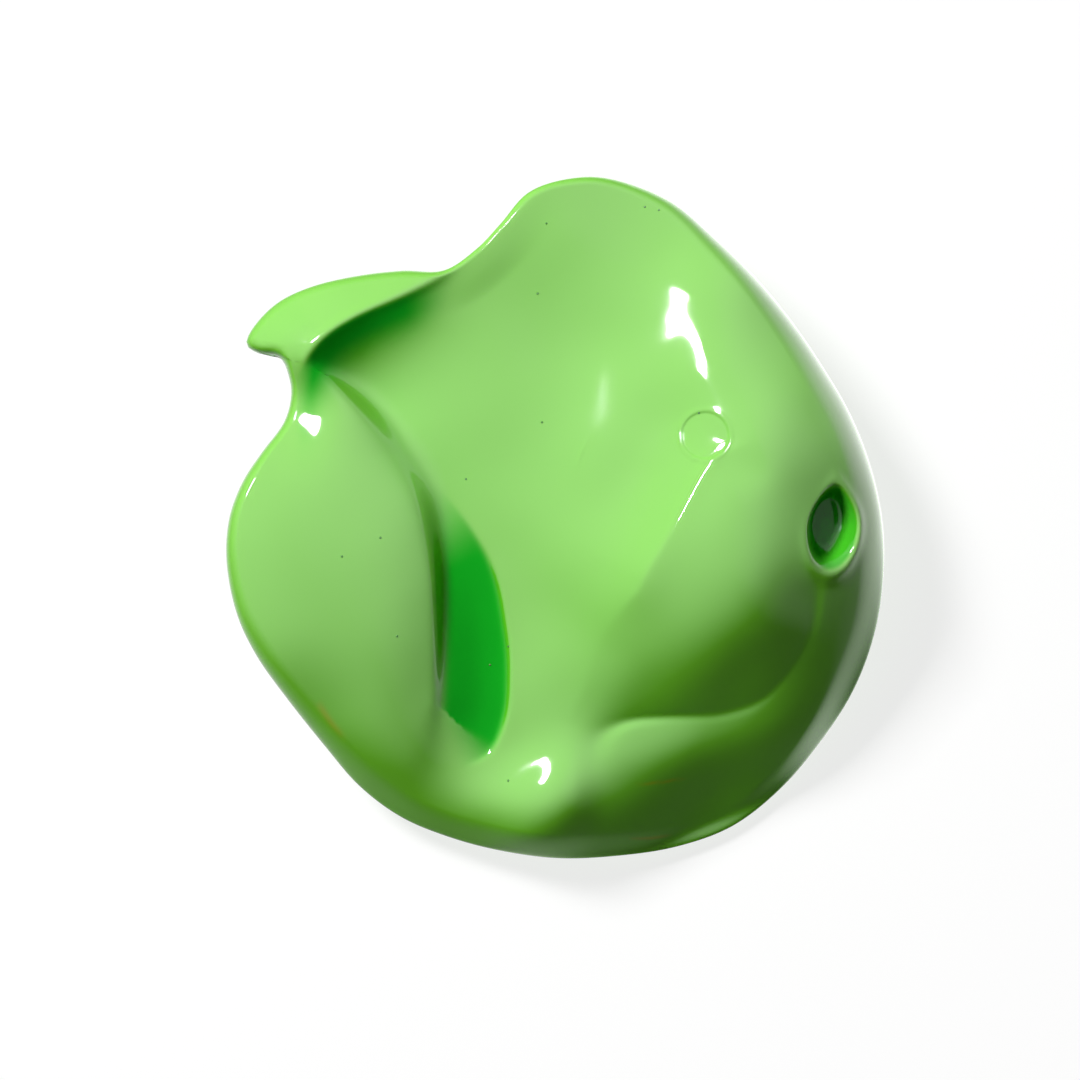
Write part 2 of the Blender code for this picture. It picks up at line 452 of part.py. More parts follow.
def build():
    for old in list(bpy.data.objects):
        bpy.data.objects.remove(old, do_unlink=True)
    folds, cutters = scene_collection("paint_dollop"), scene_collection("cutters")
    form = turned_puck("outer_form")
    sculpt(form)
    above = 2.0 * CROWN_HEIGHT
    field = max(DOLLOP_WIDTH, DOLLOP_LENGTH)
    square = [(-field, -field), (field, -field), (field, field), (-field, field)]
    slab = prism("foot_cutter", square, -FOOT_DEPTH, FOOT_DEPTH, cutters)
    fold("slumped_foot", (0.21, 0.54, 0.08), form, slab, folds)
    for name, (color, seams) in FOLDS.items():
        outline = drawn_in(plan_of(*seams), 0.5 * FOLD_GAP)
        cutter = prism(name + "_cutter", outline, FOOT_DEPTH + FOLD_GAP, above, cutters)
        fold(name, color, form, cutter, folds)


build()
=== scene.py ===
import math

import bmesh
import bpy
import numpy as np
from mathutils import Matrix, Vector


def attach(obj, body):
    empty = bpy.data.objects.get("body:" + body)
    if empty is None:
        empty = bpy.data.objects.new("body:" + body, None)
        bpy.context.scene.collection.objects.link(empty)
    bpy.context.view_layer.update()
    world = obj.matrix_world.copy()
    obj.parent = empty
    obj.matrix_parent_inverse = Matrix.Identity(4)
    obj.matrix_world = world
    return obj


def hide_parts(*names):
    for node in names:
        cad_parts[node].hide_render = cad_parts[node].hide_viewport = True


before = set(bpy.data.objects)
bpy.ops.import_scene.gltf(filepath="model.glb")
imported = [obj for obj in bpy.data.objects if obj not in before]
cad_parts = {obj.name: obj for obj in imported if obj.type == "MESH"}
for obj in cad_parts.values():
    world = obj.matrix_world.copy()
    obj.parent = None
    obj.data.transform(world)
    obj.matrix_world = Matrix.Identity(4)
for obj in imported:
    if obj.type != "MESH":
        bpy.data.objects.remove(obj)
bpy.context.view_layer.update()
mm = 0.001
print("frame loaded")

# The tables below are in millimetres over the table top

# Rolled edge, anticlockwise from the right shoulder:
# x, y, edge height, how far in it rolls, fullness of the roll, tuck at the foot, lip share
edgeTable = [
    (30.15, 0.0, 9.2, 2.4, 2.0, 2.0, 0), (29.0, 5.1, 9.8, 2.4, 2.0, 2.0, 0),
    (27.1, 9.9, 10.0, 2.4, 2.0, 2.0, 0), (24.6, 14.2, 10.0, 2.4, 2.0, 2.0, 0),
    (21.8, 18.3, 10.0, 2.2, 2.0, 2.1, 0), (18.6, 22.2, 10.0, 2.0, 2.1, 2.3, 0.1),
    (14.9, 25.8, 10.2, 1.8, 2.2, 2.7, 0.3), (10.7, 29.3, 10.6, 1.4, 2.3, 2.9, 0.6),
    (5.5, 31.3, 11.6, 1.0, 2.3, 3.0, 0.9), (1.5, 31.4, 12.4, 0.8, 2.3, 3.0, 1),
    (-2.4, 30.1, 12.9, 0.7, 2.3, 2.8, 1), (-5.0, 27.2, 13.0, 0.6, 2.3, 2.6, 1),
    (-7.2, 24.9, 12.9, 0.6, 2.3, 2.4, 1), (-10.2, 22.95, 12.5, 0.6, 2.3, 2.2, 1),
    (-14.0, 22.95, 11.8, 0.8, 2.3, 2.0, 1), (-18.0, 22.5, 11.6, 0.8, 2.3, 1.8, 1),
    (-22.0, 21.6, 11.5, 0.8, 2.3, 1.6, 1), (-25.2, 20.2, 11.2, 0.8, 2.3, 1.4, 1),
    (-27.4, 18.2, 10.9, 0.8, 2.3, 1.2, 1), (-28.4, 16.3, 10.7, 0.8, 2.3, 1.2, 1),
    (-27.3, 15.35, 10.6, 0.8, 2.3, 1.2, 1), (-25.3, 14.9, 10.5, 0.8, 2.3, 1.2, 0.8),
    (-24.5, 13.2, 10.4, 0.7, 2.3, 1.6, 0.5), (-24.3, 11.3, 10.4, 0.8, 2.3, 1.6, 0.2),
    (-25.0, 8.9, 10.6, 0.9, 2.3, 1.6, 0), (-27.0, 6.2, 10.8, 0.9, 2.3, 1.8, 0),
    (-28.8, 3.4, 10.9, 1.0, 2.2, 1.8, 0), (-30.0, 0.0, 10.9, 1.1, 2.2, 1.8, 0),
    (-30.2, -4.0, 10.7, 1.3, 2.2, 1.8, 0), (-29.3, -8.6, 10.2, 1.6, 2.2, 1.8, 0),
    (-27.5, -12.5, 9.3, 2.0, 2.2, 1.7, 0), (-24.8, -16.4, 7.8, 2.1, 2.2, 1.6, 0),
    (-21.4, -20.8, 5.8, 2.2, 2.2, 1.5, 0), (-18.2, -24.6, 4.2, 2.3, 2.1, 1.5, 0),
    (-14.4, -27.5, 3.3, 2.4, 2.0, 1.4, 0), (-10.2, -29.3, 3.2, 2.4, 2.0, 1.4, 0),
    (-5.4, -30.6, 3.6, 2.4, 2.0, 1.4, 0), (0.0, -31.35, 3.9, 2.4, 1.9, 1.4, 0),
    (5.5, -31.2, 3.0, 2.4, 1.8, 1.4, 0), (11.2, -30.4, 1.8, 2.0, 1.8, 1.4, 0),
    (16.5, -28.5, 1.3, 1.8, 1.8, 1.4, 0), (21.0, -25.0, 1.5, 1.8, 1.8, 1.5, 0),
    (24.7, -20.6, 2.5, 2.0, 1.8, 1.6, 0), (27.6, -15.9, 4.8, 2.4, 1.8, 1.7, 0),
    (29.5, -10.7, 6.7, 2.4, 1.9, 1.8, 0), (30.3, -5.3, 8.4, 2.4, 1.9, 1.9, 0),
]

# Spot heights of the scoop, the mound and its flank: x, y, z
pourSpots = [
    (-9.8, 22.4, 13.4), (-6.5, 25.6, 13.6), (-3.5, 29, 13.8), (0, 30.8, 13.8), (5, 30.6, 13.4),
    (10, 28.3, 13.5), (14, 25.4, 14.2), (-6, 22, 13.0), (-3, 25, 13.4), (1, 27, 13.8), (6, 27, 13.5),
    (10, 24, 13.9), (9, 21, 14.3), (13, 21, 15.3), (-11, 18.5, 12.8), (-5, 17, 12.5), (0, 21, 12.9),
    (5, 21, 13.7), (9, 19, 14.5), (0, 16, 12.5), (4, 16, 13.1), (-20.6, 16.4, 14.8), (-18, 18.3, 14.8),
    (-14, 20, 14.3), (-19.6, 15.2, 13.3), (-16.8, 16.8, 13.1), (-13.2, 18.4, 13.0), (-18, 13.8, 12.0),
    (-15.4, 15, 12.1), (-15, 11, 11.2), (-12, 14.5, 11.9), (-10, 10, 11.7), (-13, 8, 11.4),
    (-10, 5, 11.3), (-6, 10, 12.2), (-4, 12.5, 12.4), (-1, 12, 12.6), (-4, 5, 12.0), (-6, 2, 11.5),
    (-8, 0, 10.9), (-4, 0, 11.7), (0, 4, 12.8), (-2, -2, 11.9), (-6, -3, 10.7), (1, 8, 13.0),
    (3, 10.5, 13.3), (5, 7, 14.3), (8, 12, 14.8), (8, 4, 15.0), (4, 4, 14.1), (2, 1, 13.4), (3, -3, 13.9),
    (0, -4, 12.4), (2, -6, 13.0), (-3, -6, 10.9), (0, -8, 11.5), (6, 1, 14.7), (7, -3, 15.7),
    (5, -5, 14.7), (7, -7, 15.5), (4, -8, 13.7), (6, -10, 14.2), (2, -10, 12.0), (4, -12, 12.6),
    (0, -12, 11.0), (-3, -10, 10.3), (-3.5, -13, 9.8), (1.5, -15, 10.8), (-2, -15, 10.0), (1, -18, 10.0),
    (-2, -18, 9.6), (-5.5, -8, 10.2), (-6.5, -12, 9.8), (-7, -16, 9.4), (-5.5, -19.5, 9.0),
    (-9.2, -7, 10.8), (-9.4, -12, 10.4), (-9.4, -17, 9.9), (11, 9, 15.6), (12, 13.5, 16.1),
    (11, 17, 15.2), (10, 1.5, 16.6), (11, 5, 16.4), (13, 7, 17.0), (12, -1, 17.7), (10, -5, 16.9),
    (11, -8, 16.7), (13, -4, 17.9), (15, -7, 17.5), (13, -10.5, 16.1), (10, -10, 15.7), (9, -12.5, 14.2),
    (12, -13, 14.4), (15, -13, 14.4), (8.5, -15.3, 12.0), (11.5, -15.5, 12.4), (14, -15.4, 12.3),
    (6.5, -15, 12.2), (12, -18.1, 9.7), (16, -16, 11.0), (9, -18.3, 9.9), (6, -17.2, 10.7),
    (6, -18.6, 10.1), (15.4, -18, 9.4), (18.8, -16.9, 9.9), (22, -13.6, 11.0), (23.8, -9.7, 12.7),
    (24.3, -6.2, 14.3), (25.2, -3.6, 15.1), (17, -10, 16.1), (18, -13, 13.2), (19.5, -10.5, 15.0),
    (21, -12.6, 12.2), (18, -6, 17.8), (20.5, -8, 15.9), (22.5, -9.5, 13.6), (16, -3, 18.3),
    (19, -3, 18.1), (21.5, -5, 16.5), (23, -7, 14.2), (15, 2, 18.2), (17.5, 3, 18.6), (20, 0, 18.1),
    (23, -2.5, 16.3), (16, 6, 18.2), (20, 5, 18.5), (23, 2.5, 17.0), (25, -0.5, 15.5), (27, -3.5, 13.6),
    (29, -5.5, 11.9), (25.5, 4, 15.9), (27.5, 1, 14.2), (29.3, -1, 12.8), (19, 9, 18.2),
    (22.5, 7.5, 17.4), (24.5, 8, 16.4), (27, 6, 14.9), (28.5, 3, 13.6), (17, 11.5, 17.5),
    (14.5, 13.5, 17.0), (20.5, 11.5, 17.2), (18, 14.5, 16.6), (23, 11.5, 16.2), (15, 17, 16.2),
    (25.5, 10.5, 14.6), (23, 14.5, 14.8), (20, 17, 15.3), (20.5, 19, 14.5), (16.5, 21, 15.5),
    (6.5, -21, 7.6), (10, -21, 7.2), (14, -20.6, 7.0), (18.5, -19, 7.4), (22, -16.5, 8.4), (25, -13, 9.0),
    (26.6, -9, 10.4), (28.4, -7, 10.8), (9, -25, 4.2), (14, -25, 3.2), (20, -22, 4.0), (25, -17, 5.2),
    (28, -11.5, 7.0), (-3, -21, 8.9), (0, -20.8, 9.7), (3, -21, 10.0), (-4, -24, 8.9), (-1, -23, 9.8),
    (2, -23.8, 10.3), (-2, -26.2, 9.9), (0.5, -26.6, 10.2), (3, -27, 8.9), (5, -24.5, 8.9),
    (-5.5, -27, 8.4), (-2.5, -29, 8.4), (2, -29.6, 6.8), (-7, -21.5, 8.5), (-8, -24.5, 8.0),
    (-10, -22, 8.6), (-11, -25, 7.6), (-8, -27, 7.4), (-6, -29.4, 5.6), (-9, -29, 4.8),
]

# Spot heights of the closing rim, the inner ledge and the outer band: x, y, z
ledgeSpots = [
    (0, -20.8, 9.9), (0, -24, 10.3), (0.5, -26.6, 10.1), (0, -29.5, 7.2), (3, -19.6, 10.0),
    (3, -21.5, 10.1), (3, -24, 9.9), (3, -27, 8.6), (3, -29.6, 6.4), (6, -18.6, 10.1), (6, -20.4, 9.8),
    (6, -22.3, 9.7), (6, -24.5, 8.8), (6, -27, 7.6), (6, -29.4, 5.3), (9, -18.3, 9.9), (9, -20.5, 9.6),
    (9, -22.3, 9.2), (9, -24.5, 7.8), (9, -27, 5.9), (9, -29.2, 4.0), (12, -18.1, 9.7), (12, -19.8, 9.4),
    (12, -21.6, 8.8), (12, -23.6, 7.2), (12, -26, 4.9), (12, -28.4, 2.8), (15.4, -18, 9.4),
    (15.2, -19.6, 8.8), (15, -21.2, 8.0), (15, -23, 6.3), (15, -25, 4.3), (15, -27.2, 2.5),
    (18.8, -16.9, 9.8), (19.7, -17.9, 8.9), (18, -19.6, 8.4), (18, -21.6, 6.5), (18, -24, 4.1),
    (18, -26.4, 2.3), (20.6, -18.9, 8.2), (21.8, -20.4, 6.2), (22.4, -22, 4.0), (22, -13.6, 11.0),
    (23.1, -14.5, 9.9), (24.2, -15.5, 8.6), (25.4, -16.6, 6.9), (26.2, -17.2, 5.6), (23.8, -9.7, 12.7),
    (25.2, -10.2, 11.5), (26.4, -11, 10.0), (27.6, -12, 8.4), (28.4, -12.6, 7.2), (24.3, -6.2, 14.3),
    (25.6, -6.6, 13.3), (27, -7.2, 11.9), (28.5, -8, 10.3), (25.2, -3.6, 15.1), (26.6, -3.8, 14.0),
    (28.4, -4.2, 12.4), (29.5, -5, 11.2), (27.5, -1.5, 14.0), (29.3, -1, 12.7), (29.4, 1.5, 12.8),
    (27.5, 1, 14.2), (25.5, 1.5, 15.7),
]

# Spot heights of the left lobe and of the curl's outer face
lobeSpots = [
    (-21.4, 12.6, 14.0), (-23.4, 11.2, 12.7), (-22, 9.8, 13.7), (-20.4, 8.4, 14.3), (-19, 11, 14.2),
    (-17, 9, 13.8), (-15, 6.5, 13.4), (-24, 7.6, 13.5), (-21, 5, 14.5), (-17, 4.5, 14.2),
    (-13.5, 2, 13.7), (-12, 4.5, 12.8), (-27, 6, 13.9), (-26, 3, 14.5), (-22, 1, 14.8), (-18, 0, 14.6),
    (-14.5, -2, 14.2), (-11.5, -1, 13.1), (-29, 1, 14.2), (-28, -2, 14.5), (-24, -3, 14.8),
    (-20, -4, 14.7), (-16, -6, 14.2), (-13, -6.5, 13.6), (-11, -6, 12.7), (-29.6, -5, 13.8),
    (-27, -6, 14.3), (-23, -8, 14.3), (-19, -9.5, 14.0), (-15.5, -10.5, 13.6), (-12.5, -11, 12.8),
    (-11, -10.5, 12.0), (-28, -10, 13.3), (-25, -12, 13.4), (-21, -13, 13.2), (-17, -15, 12.6),
    (-14, -15, 12.3), (-11.5, -15.5, 11.2), (-26, -14.4, 12.0), (-23, -17, 10.9), (-19.5, -17, 11.5),
    (-20, -20.5, 9.2), (-16, -19.5, 10.9), (-13, -19, 10.8), (-17.4, -23, 8.0), (-14, -22.5, 9.4),
    (-11, -20, 9.9), (-13.5, -25.6, 6.8), (-11, -24.5, 8.0), (-9, -26.5, 7.2), (-7, -24.5, 8.4),
    (-12, -28, 4.6), (-15.5, -26, 5.2), (-18.7, -23.6, 6.2), (-8.6, -29, 4.8), (-27.2, 18.4, 12.4),
    (-25, 17.2, 14.1), (-23.2, 15.4, 15.2), (-24.6, 20, 12.8), (-22.4, 18.8, 14.0), (-21, 17.2, 15.1),
    (-21.4, 21.2, 13.3), (-19.4, 19.8, 14.4), (-18, 18.6, 15.1), (-17, 21.8, 13.6), (-14, 20.7, 14.7),
    (-13, 22.4, 13.7), (-10, 22.6, 13.9),
]

# Lines where one surface breaks into the other; the valley lies on their left
curlCrest = [
    (6, 36), (0, 33.0), (-6.0, 26.9), (-8.6, 24.0), (-10.4, 22.4), (-14, 20.6), (-18, 18.9),
    (-20.8, 17.2), (-22.6, 15.2), (-25, 11.5), (-28, 6),
]
lobeBreak = [
    (-32, 18), (-26, 15.8), (-23.2, 14.5), (-20, 12.6), (-16.5, 9.4), (-13.6, 5.6), (-11.7, 2),
    (-10.8, -3), (-10.6, -8), (-10.6, -13), (-10.8, -18), (-11.2, -22), (-11.8, -27), (-12.5, -33),
]
tongueBreak = [
    (-11, 3.5), (-7.6, -1), (-5.6, -5), (-4.6, -10), (-4.3, -14), (-4.6, -18), (-6.0, -21.3), (-9, -23.2),
]
# Where the mound and the scoop break into the ledges, which lie on its right: x, y, width of the break
ledgeBreak = [
    (3.4, -36, 1.5), (3.2, -28, 1.5), (3.2, -23, 1.3), (4.2, -20.2, 0.9), (6.4, -18.7, 0.4),
    (9.5, -18.2, 0.3), (12, -18.0, 0.3), (15.4, -17.9, 0.28), (18.8, -16.8, 0.28), (22, -13.5, 0.28),
    (23.8, -9.6, 0.28), (24.3, -6, 0.4), (25.2, -3.6, 0.8), (27.5, -1.7, 1.4), (33, -0.6, 1.6),
]

# Thin marks on the surface: x, y, height, half width; the crease also lifts the ground beside it
creaseRoof = [
    (18.4, 7.4, 0.0, 1.2, 0.0), (15.8, 6.2, 0.2, 1.4, -0.3), (14.2, 5.2, 0.42, 1.6, -0.25),
    (13.1, 3.7, 0.5, 1.8, -0.18), (11.0, -0.2, 0.5, 1.8, 0.05), (8.6, -4.3, 0.45, 1.7, 0.35),
    (7.5, -6.4, 0.3, 1.5, 0.4), (5.6, -8.8, 0.12, 1.3, 0.2), (3.9, -11.4, 0.07, 1.1, 0.0),
    (2.8, -15.0, 0.06, 1.0, 0.0), (1.7, -17.4, 0.05, 0.9, 0.0), (1.2, -18.8, 0.0, 0.8, 0.0),
]
crease = {"rounding": 0.34, "liftReach": 2.6}
strands = [
    [(11.6, 5.6, 0.0, 0.13), (9.6, 3.6, 0.022, 0.13), (7.6, 0.6, 0.022, 0.13), (6.4, -2.2, 0.0, 0.13)],
    [(11.0, 4.6, 0.0, 0.12), (9.2, 2.0, 0.02, 0.12), (8.4, -0.6, 0.0, 0.12)],
    [(16.0, 7.4, 0.0, 0.14), (14.2, 6.3, 0.025, 0.14), (12.0, 5.3, 0.02, 0.14), (10.6, 4.8, 0.0, 0.14)],
    [(8.9, 4.4, 0.0, 0.12), (7.2, 1.8, 0.018, 0.12), (5.8, -0.6, 0.0, 0.12)],
    [(3.3, 8.0, 0.0, 0.14), (2.4, 6.2, 0.03, 0.14), (1.9, 4.6, 0.0, 0.14)],
]

# A burst bubble on the right shoulder, and the ring of a smaller one on the mound
bubblePit = {
    "at": (25.35, -0.7), "reach": (2.45, 4.1), "point": 0.36, "lean": 0.25, "depth": 2.3,
    "steepWall": 0.2, "easyWall": 0.85, "easyTurn": 0.6, "rim": 0.35, "rimAt": 1.08, "rimWidth": 0.16,
}
dimple = {"at": (17.8, 4.6), "reach": 1.7, "depth": 0.16}
bubbleRing = {"at": (13.65, 7.75), "radius": 2.1, "dent": 0.09, "wall": 0.24, "lip": 0.04,
              "lipAt": 0.25, "lipWidth": 0.2}

skin = {
    "around": 360, "rings": 140, "wall": 16, "floor": 3,  # cells of the turned puck
    "fineBand": (1.1, 0.6),  # how far from a mark the cells are halved, and halved again
    "fineCrest": (13, 27.5), "fineCrease": -7,  # the stretches of curl and crease that need it
    "ease": 25.0,  # how loosely the surfaces follow their spot heights
    "crestWidth": 0.5, "creviceDrop": 0.5, "tongueWidth": 0.28,
    "creviceStart": (0.12, 0.3), "creviceEnd": 0.25,  # shares of the tongue over which it deepens
    "creviceReach": (2.0, 3.0),  # level floor, then how softly it rises to the lobe
    "lobeBreakY": (-27, -22, -17, -12, -6, 0, 6, 12, 15),
    "lobeBreakWidth": (3.0, 1.6, 0.5, 0.45, 0.5, 0.9, 1.4, 0.8, 0.4),
    "footEvening": 200, "coreEvening": 900, "lipFlare": 1.4,
    "coreShare": 0.5, "coreShift": 10.0,  # the middle rings follow an evened edge, moved to the lip
    "rimRise": 0.5, "rimReach": 4.0,  # the surface stays this much above the edge, this far in
}


def smoothStep(share):
    share = np.clip(share, 0.0, 1.0)
    return share * share * (3.0 - 2.0 * share)


def stepOver(distance, width):
    return 0.5 * (1.0 + np.tanh(distance / width))


def softMax(a, b, blend):
    return 0.5 * (a + b + np.sqrt((a - b) ** 2 + blend * blend))


def curveThrough(points, closed=False, perSpan=8):
    table = np.array(points, float)
    if closed:
        ring = np.vstack([table[-1:], table, table[:2]])
    else:
        ring = np.vstack([2 * table[0] - table[1], table, 2 * table[-1] - table[-2]])
    share = np.linspace(0.0, 1.0, perSpan, endpoint=False)[:, None]
    spans = []
    for a, b, c, d in zip(ring, ring[1:], ring[2:], ring[3:]):
        bend = (2 * a - 5 * b + 4 * c - d) * share**2 + (3 * b - a - 3 * c + d) * share**3
        spans.append(b + 0.5 * ((c - a) * share + bend))
    if not closed:
        spans.append(ring[-2:-1])
    return np.vstack(spans)


def surfaceThrough(spots):
    # smoothest surface through the spot heights
    spots = np.array(spots, float)
    count = len(spots)
    apart = np.hypot(*(spots[:, None, :2] - spots[None, :, :2]).transpose(2, 0, 1))
    rows = np.zeros((count + 3, count + 3))
    rows[:count, :count] = apart**3 + skin["ease"] * np.eye(count)
    rows[:count, count:] = np.column_stack([np.ones(count), spots[:, :2]])
    rows[count:, :count] = rows[:count, count:].T
    weight = np.linalg.solve(rows, np.append(spots[:, 2], np.zeros(3)))

    def height(x, y):
        level = weight[count] + weight[count + 1] * x + weight[count + 2] * y
        for (atX, atY, _), pull in zip(spots, weight):
            reach = (x - atX) ** 2 + (y - atY) ** 2
            level = level + pull * reach * np.sqrt(reach)
        return level

    return height


def nearestOn(line, x, y):
    # nearest place along a line as a share of it, and how far to its left the point lies
    start, run = line[:-1, :2], np.diff(line[:, :2], axis=0)
    length = np.hypot(run[:, 0], run[:, 1])
    along = run / length[:, None]
    passed = np.cumsum(length) - length
    share, left = np.empty(len(x)), np.empty(len(x))
    for at in range(0, len(x), 8192):
        part = slice(at, at + 8192)
        fromX = x[part, None] - start[:, 0]
        fromY = y[part, None] - start[:, 1]
        held = np.clip(fromX * along[:, 0] + fromY * along[:, 1], 0.0, length)
        away = (fromX - held * along[:, 0]) ** 2 + (fromY - held * along[:, 1]) ** 2
        near = np.argmin(away, axis=1)
        row = np.arange(len(near))
        side = along[near, 0] * fromY[row, near] - along[near, 1] * fromX[row, near]
        share[part] = (passed[near] + held[row, near]) / length.sum()
        left[part] = np.where(side >= 0, 1.0, -1.0) * np.sqrt(away[row, near])
    return share, left


def shareOf(line):
    length = np.append(0.0, np.cumsum(np.hypot(*np.diff(line[:, :2], axis=0).T)))
    return length / length[-1]


pour, lobe = surfaceThrough(pourSpots), surfaceThrough(lobeSpots)
rim = curveThrough(edgeTable, closed=True)
ledges = surfaceThrough(ledgeSpots)
crest, lobeLine = curveThrough(curlCrest), curveThrough(lobeBreak)
tongue, toe = curveThrough(tongueBreak), curveThrough(ledgeBreak)
roof = curveThrough(creaseRoof)
ridges = [curveThrough(line) for line in strands]


def pitShare(x, y):
    # 0 at the middle of the burst bubble, 1 at its rim, with the top drawn to a point
    (atX, atY), (reachX, reachY) = bubblePit["at"], bubblePit["reach"]
    v = (y - atY) / reachY
    narrow = 1.0 - bubblePit["point"] * np.clip(v, 0.0, 1.3) ** 2
    return np.hypot((x - atX - bubblePit["lean"] * v) / (reachX * narrow), v)


def bubbleMarks(x, y):
    (atX, atY), (reachX, reachY) = bubblePit["at"], bubblePit["reach"]
    share = pitShare(x, y)
    turn = np.arctan2((y - atY) / reachY, (x - atX) / reachX)
    easy = 0.5 + 0.5 * np.cos(turn + bubblePit["easyTurn"])  # the wall is easy towards the lower right
    wall = bubblePit["steepWall"] + (bubblePit["easyWall"] - bubblePit["steepWall"]) * easy
    mark = -bubblePit["depth"] * smoothStep((1.0 - share) / wall)
    raised = np.exp(-(((share - bubblePit["rimAt"]) / bubblePit["rimWidth"]) ** 2))
    mark += bubblePit["rim"] * easy * raised
    ringAt, ringRadius = bubbleRing["at"], bubbleRing["radius"]
    away = ringRadius - np.hypot(x - ringAt[0], y - ringAt[1])
    mark -= bubbleRing["dent"] * smoothStep(away / bubbleRing["wall"] + 0.5)
    mark += bubbleRing["lip"] * np.exp(-(((away + bubbleRing["lipAt"]) / bubbleRing["lipWidth"]) ** 2))
    fromDimple = (x - dimple["at"][0]) ** 2 + (y - dimple["at"][1]) ** 2
    return mark - dimple["depth"] * np.exp(-fromDimple / dimple["reach"] ** 2)


def ridgeMarks(x, y):
    # the crease is a low roof, the strands are thin round threads
    share, left = nearestOn(roof, x, y)
    tall, reach, lift = [np.interp(share, shareOf(roof), roof[:, k]) for k in (2, 3, 4)]
    rounding = crease["rounding"]
    mark = tall * np.exp(-(np.hypot(left, rounding) - rounding) / reach)
    mark += lift * np.exp(-((left / crease["liftReach"]) ** 2))
    for line in ridges:
        low, high = line[:, :2].min(axis=0) - 1.5, line[:, :2].max(axis=0) + 1.5
        close = (x > low[0]) & (x < high[0]) & (y > low[1]) & (y < high[1])
        share, left = nearestOn(line, x[close], y[close])
        tall, wide = [np.interp(share, shareOf(line), line[:, k]) for k in (2, 3)]
        mark[close] += tall * np.exp(-((left / wide) ** 2))
    return mark


def surfaceHeight(x, y):
    _, pastCrest = nearestOn(crest, x, y)
    _, pastLobe = nearestOn(lobeLine, x, y)
    alongTongue, pastTongue = nearestOn(tongue, x, y)
    wall = np.interp(y, skin["lobeBreakY"], skin["lobeBreakWidth"])
    valley = stepOver(pastLobe, wall) * stepOver(pastCrest, skin["crestWidth"])
    (start, run), (floor, rise) = skin["creviceStart"], skin["creviceReach"]
    crevice = stepOver(-pastTongue, skin["tongueWidth"]) * smoothStep((alongTongue - start) / run)
    crevice *= smoothStep((1.0 - alongTongue) / skin["creviceEnd"])
    crevice *= np.exp(-((np.maximum(-pastTongue - floor, 0.0) / rise) ** 2))
    poured = pour(x, y) - skin["creviceDrop"] * crevice
    share, pastToe = nearestOn(toe, x, y)
    outer = stepOver(-pastToe, np.interp(share, shareOf(toe), toe[:, 2]))
    poured = (1.0 - outer) * poured + outer * ledges(x, y)
    height = (1.0 - valley) * lobe(x, y) + valley * poured
    return height + bubbleMarks(x, y) + ridgeMarks(x, y)


def evened(ring, rounds):
    for _ in range(rounds):
        ring = (np.roll(ring, 1, axis=0) + 2.0 * ring + np.roll(ring, -1, axis=0)) / 4.0
    return ring


def footLine():
    # where the foot meets the table, point for point under the edge
    line = evened(rim[:, :2], skin["footEvening"])
    run = np.roll(line, -1, axis=0) - np.roll(line, 1, axis=0)
    left = np.column_stack([-run[:, 1], run[:, 0]]) / np.hypot(*run.T)[:, None]
    return line + left * rim[:, 5:6]


def turnedPuck(name):
    # a flat round puck, one unit in radius and height
    bm = bmesh.new()
    rings, wall, floor = skin["rings"], skin["wall"], skin["floor"]
    profile = [(math.sin(0.5 * math.pi * k / rings), 1.0) for k in range(rings + 1)]
    profile += [(1.0, 1.0 - k / wall) for k in range(1, wall + 1)]
    profile += [(1.0 - k / floor, 0.0) for k in range(1, floor + 1)]
    points = [bm.verts.new((radius, 0.0, height)) for radius, height in profile]
    edges = [bm.edges.new(pair) for pair in zip(points, points[1:])]
    bmesh.ops.spin(bm, geom=points + edges, cent=(0, 0, 0), axis=(0, 0, 1), angle=2 * math.pi,
                   steps=skin["around"], use_merge=True)
    bmesh.ops.remove_doubles(bm, verts=bm.verts, dist=1e-5)
    refine(bm)
    bmesh.ops.recalc_face_normals(bm, faces=bm.faces)
    mesh = bpy.data.meshes.new(name)
    bm.to_mesh(mesh)
    bm.free()
    return mesh


def rimValues(angle):
    ring = np.hstack([rim, footLine(), evened(rim[:, :2], skin["coreEvening"])])
    closed = np.vstack([ring, ring[:1]])
    length = shareOf(closed)
    turn = (angle / (2 * math.pi)) % 1.0
    return np.column_stack([np.interp(turn, length, column) for column in closed.T])


def spreadOf(points):
    # where the puck's points lie in plan, with their edge values
    radius = np.hypot(points[:, 0], points[:, 1])
    table = rimValues(np.arctan2(points[:, 1], points[:, 0]))
    edge, core = table[:, :2], table[:, 9:11]
    grow = smoothStep((radius - skin["coreShare"]) / (1.0 - skin["coreShare"]))[:, None]
    spread = (core + (edge - core) * grow) * radius[:, None]
    spread[:, 1] += skin["coreShift"] * grow[:, 0] * (1.0 - radius)
    return spread, radius, grow, table


def refine(bm):
    # halves the cells beside the sharp marks, twice where they are closest
    low, high = skin["fineCrest"]
    curl = crest[(crest[:, 1] < high) & (crest[:, 1] > low)]
    marks = [curl, tongue, roof[roof[:, 1] > skin["fineCrease"]]]
    (ringX, ringY), ringRadius = bubbleRing["at"], bubbleRing["radius"]
    for reach in skin["fineBand"]:
        faces = [face for face in bm.faces if face.calc_center_median().z > 0.999]
        middles = np.array([face.calc_center_median()[:] for face in faces])
        x, y = spreadOf(middles)[0].T
        near = np.abs(pitShare(x, y) - 0.9) < 0.32 * reach
        near |= np.abs(np.hypot(x - ringX, y - ringY) - ringRadius) < 0.6 * reach
        for line in marks:
            near |= np.abs(nearestOn(line, x, y)[1]) < reach
        edges = dict.fromkeys(edge for face, hit in zip(faces, near) if hit for edge in face.edges)
        bmesh.ops.subdivide_edges(bm, edges=list(edges), cuts=1, use_grid_fill=True)


